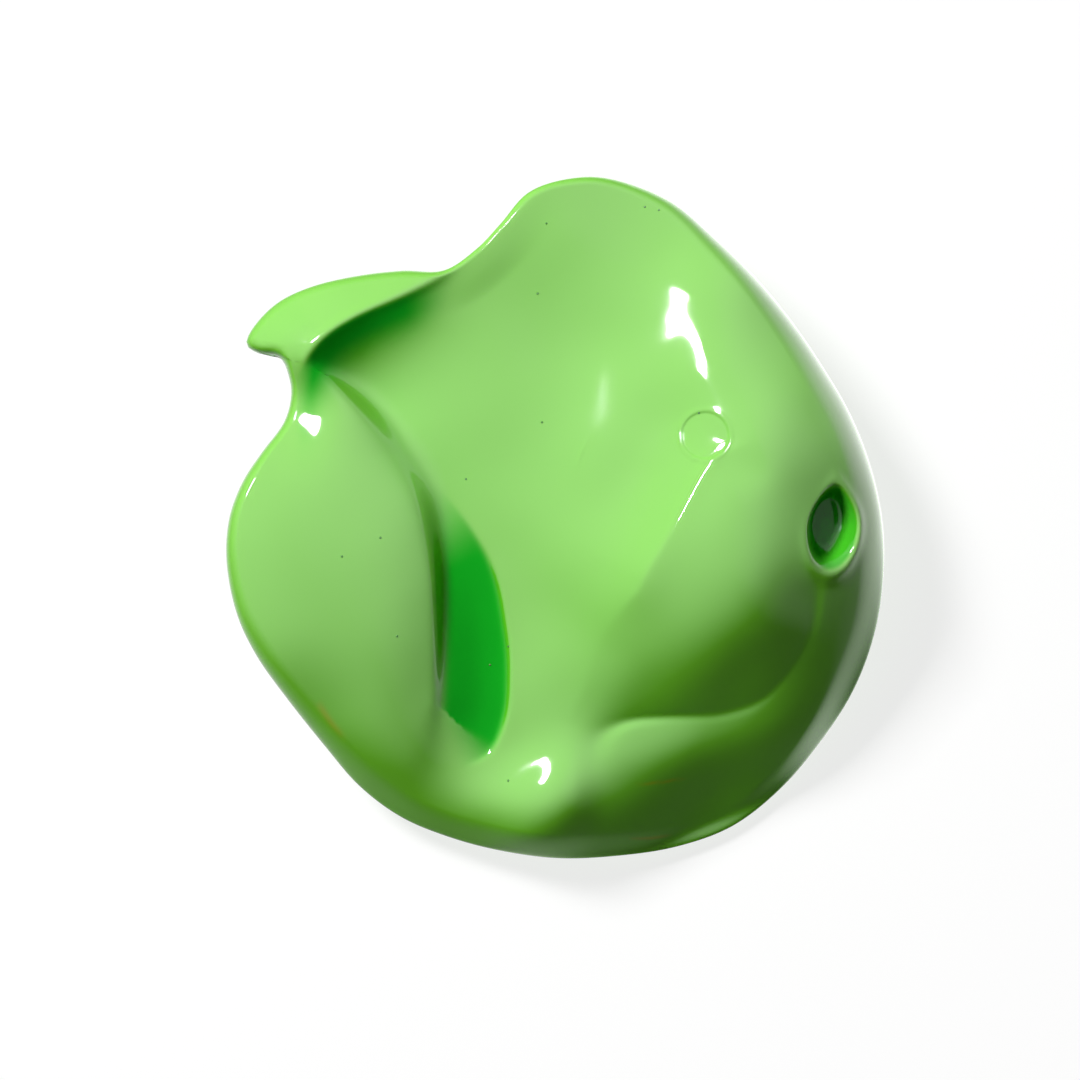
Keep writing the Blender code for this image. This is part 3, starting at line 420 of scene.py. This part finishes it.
def sculpt(mesh):
    points = np.empty(3 * len(mesh.vertices))
    mesh.vertices.foreach_get("co", points)
    points = points.reshape(-1, 3)
    drop = 1.0 - points[:, 2]
    spread, radius, grow, table = spreadOf(points)
    edge, level, rolled, full, lip = table[:, :2], table[:, 2], table[:, 3], table[:, 4], table[:, 6]
    foot, core = table[:, 7:9], table[:, 9:11]
    formed = np.empty_like(points)

    top = drop < 1e-4
    x, y = spread[top].T
    _, inside = nearestOn(np.vstack([rim, rim[:1]]), x, y)
    share = np.clip(np.where(radius[top] > 0.9999, 0.0, inside) / rolled[top], 0.0, 1.0)
    roll = (1.0 - (1.0 - share) ** full[top]) ** (1.0 / full[top])
    height = surfaceHeight(x, y)
    raised = softMax(height, level[top] + skin["rimRise"], skin["rimRise"]) - height
    height = height + raised * smoothStep(1.0 - inside / skin["rimReach"])
    formed[top] = np.column_stack([x, y, level[top] + (height - level[top]) * roll])

    side = ~top & (radius > 0.9999)
    turn = 0.5 * math.pi * drop[side]
    bulged, flared = 1.0 - np.cos(turn), 1.0 - (1.0 - drop[side]) ** skin["lipFlare"]
    tucked = (bulged + (flared - bulged) * lip[side])[:, None]
    formed[side, :2] = edge[side] + (foot[side] - edge[side]) * tucked
    sunk = (1.0 - np.sin(turn)) * (1.0 - lip[side]) + (1.0 - drop[side]) * lip[side]
    formed[side, 2] = level[side] * sunk

    under = ~top & ~side
    sole = (core + (foot - core) * grow)[under] * radius[under][:, None]
    formed[under] = np.column_stack([sole, np.zeros(under.sum())])
    mesh.vertices.foreach_set("co", (formed * mm).ravel())
    mesh.update()


def addPiece(name, mesh):
    piece = bpy.data.objects.new(name, mesh)
    bpy.context.scene.collection.objects.link(piece)
    mesh.shade_smooth()
    return piece


# the darker saturated green is painted shade for the crevice and hollows; the yellow is the paint's own raw
# pigment
paint = {
    "color": (0.136, 0.476, 0.014), "paintedShade": (0.006, 0.36, 0.014), "pigment": (0.30, 0.36, 0.0),
    "roughness": 0.5, "coatRoughness": 0.06,
}

pigmentStreaks = [
    [(-21.9, -16.6, 0.5, 0.35), (-20.6, -18.6, 0.6, 0.3), (-19.2, -20.2, 0.2, 0.3)],
    [(7.2, -24.4, 0.2, 0.12), (9.6, -24.2, 0.7, 0.12), (12.3, -23.8, 0.2, 0.12)],
    [(6.6, -29.5, 0.2, 0.16), (9.0, -29.5, 0.7, 0.16), (11.0, -29.2, 0.2, 0.16)],
]

# Where the painted shade lies (the crevice, under the curl's crest and inside the burst bubble), in
# millimetres and in shares of the crevice
tint = {
    "tongueEdge": 0.25, "wallGap": 0.4, "wallEdge": 0.3, "headFade": (-0.03, 0.3), "toeFade": 0.16,
    "curlGap": 0.25, "curlEdge": 0.15, "curlReach": (1.4, 1.9), "curlRight": (9.0, 5.0), "curlLeft": (24, 2),
    "pit": 0.7, "pitEdge": 0.15, "streakFade": 0.8,
}


def addMask(mesh, name, values):
    mesh.attributes.new(name, "FLOAT", "POINT").data.foreach_set("value", values.astype(np.float32))


def maskSkin(mesh):
    # how strongly each point takes the painted shade of the crevice, under the curl and in the burst bubble,
    # and where raw pigment shows
    points = np.empty(3 * len(mesh.vertices))
    mesh.vertices.foreach_get("co", points)
    x, y, _ = points.reshape(-1, 3).T / mm
    alongTongue, pastTongue = nearestOn(tongue, x, y)
    _, pastLobe = nearestOn(lobeLine, x, y)
    paintedShade = stepOver(-pastTongue, tint["tongueEdge"]) * stepOver(pastLobe - tint["wallGap"], tint["wallEdge"])
    start, run = tint["headFade"]
    paintedShade *= smoothStep((alongTongue - start) / run) * smoothStep((1.0 - alongTongue) / tint["toeFade"])
    _, pastCrest = nearestOn(crest, x, y)
    level, soft = tint["curlReach"]
    (right, rightRun), (left, leftRun) = tint["curlRight"], tint["curlLeft"]
    # painted shade below the curl's crest, where its lip hides the light
    shade = stepOver(pastCrest - tint["curlGap"], tint["curlEdge"])
    shade *= np.exp(-((np.maximum(pastCrest - level, 0.0) / soft) ** 2))
    shade *= smoothStep((-x - right) / rightRun) * smoothStep((x + left) / leftRun)
    # painted shade inside the burst bubble: darker green and less gloss
    pit = tint["pit"] * smoothStep((1.0 - pitShare(x, y)) / tint["pitEdge"])
    pigment = np.zeros(len(x))
    for line in [curveThrough(streak) for streak in pigmentStreaks]:
        share, left = nearestOn(line, x, y)
        strong, wide = [np.interp(share, shareOf(line), line[:, k]) for k in (2, 3)]
        ends = np.hypot(x - line[0, 0], y - line[0, 1]), np.hypot(x - line[-1, 0], y - line[-1, 1])
        fade = smoothStep(np.minimum(*ends) / tint["streakFade"]) * (share > 0.001) * (share < 0.999)
        pigment += strong * fade * np.exp(-((left / wide) ** 2))
    addMask(mesh, "paintedShade", np.maximum(np.maximum(paintedShade, shade), pit))
    addMask(mesh, "pigment", np.clip(pigment, 0.0, 1.0))


def wetPaint(name):
    material = bpy.data.materials.new(name)
    material.use_nodes = True
    nodes, links = material.node_tree.nodes, material.node_tree.links
    shader = nodes["Principled BSDF"]
    shader.inputs["Roughness"].default_value = paint["roughness"]
    shader.inputs["Specular IOR Level"].default_value = 0.0
    shader.inputs["Coat Roughness"].default_value = paint["coatRoughness"]
    color = None
    # the gloss is a wet coat; where the painted shade lies the coat is taken away, a painted stand-in for
    # the crevice hiding the lights
    wet = nodes.new("ShaderNodeMath")
    wet.operation = "SUBTRACT"
    wet.inputs[0].default_value = 1.0
    links.new(wet.outputs["Value"], shader.inputs["Coat Weight"])
    for mask in ("paintedShade", "pigment"):
        seen = nodes.new("ShaderNodeAttribute")
        seen.attribute_name = mask
        mixed = nodes.new("ShaderNodeMix")
        mixed.data_type = "RGBA"
        mixed.inputs["A"].default_value = (*paint["color"], 1.0)
        mixed.inputs["B"].default_value = (*paint[mask], 1.0)
        links.new(seen.outputs["Fac"], mixed.inputs["Factor"])
        if mask == "paintedShade":
            links.new(seen.outputs["Fac"], wet.inputs[1])
        if color:
            links.new(color, mixed.inputs["A"])
        color = mixed.outputs["Result"]
    links.new(color, shader.inputs["Base Color"])
    return material


mesh = turnedPuck("paint_skin")
sculpt(mesh)
maskSkin(mesh)
paintSkin = addPiece("paint_skin", mesh)
print("paint skin sculpted:", len(mesh.vertices), "points")

paintSkin.data.materials.append(wetPaint("wet_green_paint"))
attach(paintSkin, "root")

specks = {"radius": 0.13, "proud": 0.3, "color": (0.03, 0.17, 0.004), "roughness": 0.35}
speckSpots = [
    (-1.6, 20.8), (-1.2, 9.0), (-6.0, -13.3), (-0.8, 27.2), (8.2, 28.7), (9.5, 28.4), (13.1, 9.8),
    (-8.2, 3.8), (-16.0, -1.6), (-19.5, -3.3), (-14.5, -10.6), (-4.3, -11.6), (-4.3, -24.0),
]


def makeSpecks(name):
    # tiny trapped bubbles and dust, most of each sunk in the paint
    spots = np.array(speckSpots)
    bm = bmesh.new()
    for (x, y), level in zip(speckSpots, surfaceHeight(spots[:, 0], spots[:, 1])):
        at = Vector((x, y, level - (1.0 - 2.0 * specks["proud"]) * specks["radius"])) * mm
        bmesh.ops.create_icosphere(
            bm, subdivisions=2, radius=specks["radius"] * mm, matrix=Matrix.Translation(at)
        )
    speckMesh = bpy.data.meshes.new(name)
    bm.to_mesh(speckMesh)
    bm.free()
    dust = bpy.data.materials.new(name)
    dust.use_nodes = True
    shader = dust.node_tree.nodes["Principled BSDF"]
    shader.inputs["Base Color"].default_value = (*specks["color"], 1.0)
    shader.inputs["Roughness"].default_value = specks["roughness"]
    speckMesh.materials.append(dust)
    return addPiece(name, speckMesh)


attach(makeSpecks("trapped_specks"), "root")
print("specks set:", len(speckSpots))
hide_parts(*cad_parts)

studio = {
    "floorSize": 2.0, "floorColor": 0.2, "floorGlow": 0.8, "floorRoughness": 0.9, "fill": 0.1,
    # soft glows of the room: direction, where each starts, how it gathers, strength
    "glows": (
        ((-0.45, 0.40, 0.80), -0.2, 1.2, 4.3), ((1.0, 0.35, 0.6), 0.4, 1.0, 1.6),
        ((1.0, 0.2, -0.8), 0.5, 1.0, 2.3), ((0.0, 0.0, -1.0), 0.0, 1.5, 0.8),
    ),
    "keyWatts": 11.7, "keyAt": (-0.44, 0.44, 0.645), "keySize": (0.22, 0.22),
    "stripWatts": 6.5, "stripAt": (-0.45, 0.29, 0.76), "stripSize": (0.16, 0.055),
}
view = {"lens": 250, "sensor": 36, "over": (-1.389, -1.806), "across": 0.1, "lift": 6 * mm}


def makeStudio():
    bm = bmesh.new()
    bmesh.ops.create_grid(bm, x_segments=1, y_segments=1, size=studio["floorSize"])
    floorMesh = bpy.data.meshes.new("studio_floor")
    bm.to_mesh(floorMesh)
    bm.free()
    floor = addPiece("studio_floor", floorMesh)
    plain = bpy.data.materials.new("studio_paper")
    plain.use_nodes = True
    shader = plain.node_tree.nodes["Principled BSDF"]
    shader.inputs["Base Color"].default_value = (*[studio["floorColor"]] * 3, 1.0)
    shader.inputs["Roughness"].default_value = studio["floorRoughness"]
    shader.inputs["Specular IOR Level"].default_value = 0.0
    shader.inputs["Emission Color"].default_value = (1, 1, 1, 1)
    shader.inputs["Emission Strength"].default_value = studio["floorGlow"]
    floorMesh.materials.append(plain)
    floor.visible_glossy = False

    world = bpy.data.worlds.new("studio")
    world.use_nodes = True
    world.cycles_visibility.diffuse = False
    nodes, links = world.node_tree.nodes, world.node_tree.links
    # only gloss sees the room: it glows by the key light, on the right and faintly from below
    facing = nodes.new("ShaderNodeTexCoord").outputs["Generated"]
    glow = None
    for towards, start, power, strength in studio["glows"]:
        across = nodes.new("ShaderNodeVectorMath")
        across.operation = "DOT_PRODUCT"
        across.inputs[1].default_value = Vector(towards).normalized()
        links.new(facing, across.inputs[0])
        level = across.outputs["Value"]
        for operation, amount in (
            ("SUBTRACT", start), ("DIVIDE", 1.0 - start), ("MAXIMUM", 0.0), ("POWER", power),
            ("MULTIPLY", strength), ("ADD", glow or studio["fill"]),
        ):
            step = nodes.new("ShaderNodeMath")
            step.operation = operation
            if glow and operation == "ADD":
                links.new(glow, step.inputs[1])
            else:
                step.inputs[1].default_value = amount
            links.new(level, step.inputs[0])
            level = step.outputs["Value"]
        glow = level
    nodes["Background"].inputs["Color"].default_value = (1, 1, 1, 1)
    links.new(glow, nodes["Background"].inputs["Strength"])
    bpy.context.scene.world = world


def softbox(name, at, size, watts, sheen):
    light = bpy.data.lights.new(name, "AREA")
    light.shape = "RECTANGLE"
    light.size, light.size_y = size
    light.energy = watts
    holder = bpy.data.objects.new(name, light)
    holder.location = at
    holder.visible_glossy, holder.visible_diffuse = sheen, not sheen
    holder.rotation_euler = (-Vector(at)).to_track_quat("-Z", "Y").to_euler()
    bpy.context.scene.collection.objects.link(holder)


makeStudio()
softbox("key_softbox", studio["keyAt"], studio["keySize"], studio["keyWatts"], False)
softbox("sheen_strip", studio["stripAt"], studio["stripSize"], studio["stripWatts"], True)

lens = bpy.data.cameras.new("camera")
lens.lens, lens.sensor_width = view["lens"], view["sensor"]
camera = bpy.data.objects.new("camera", lens)
overX, overY = view["over"]
camera.location = (overX * mm, overY * mm, view["lift"] + view["across"] * view["lens"] / view["sensor"])
bpy.context.scene.collection.objects.link(camera)
bpy.context.scene.camera = camera
bpy.context.scene.view_settings.view_transform = "Standard"
print("studio set")
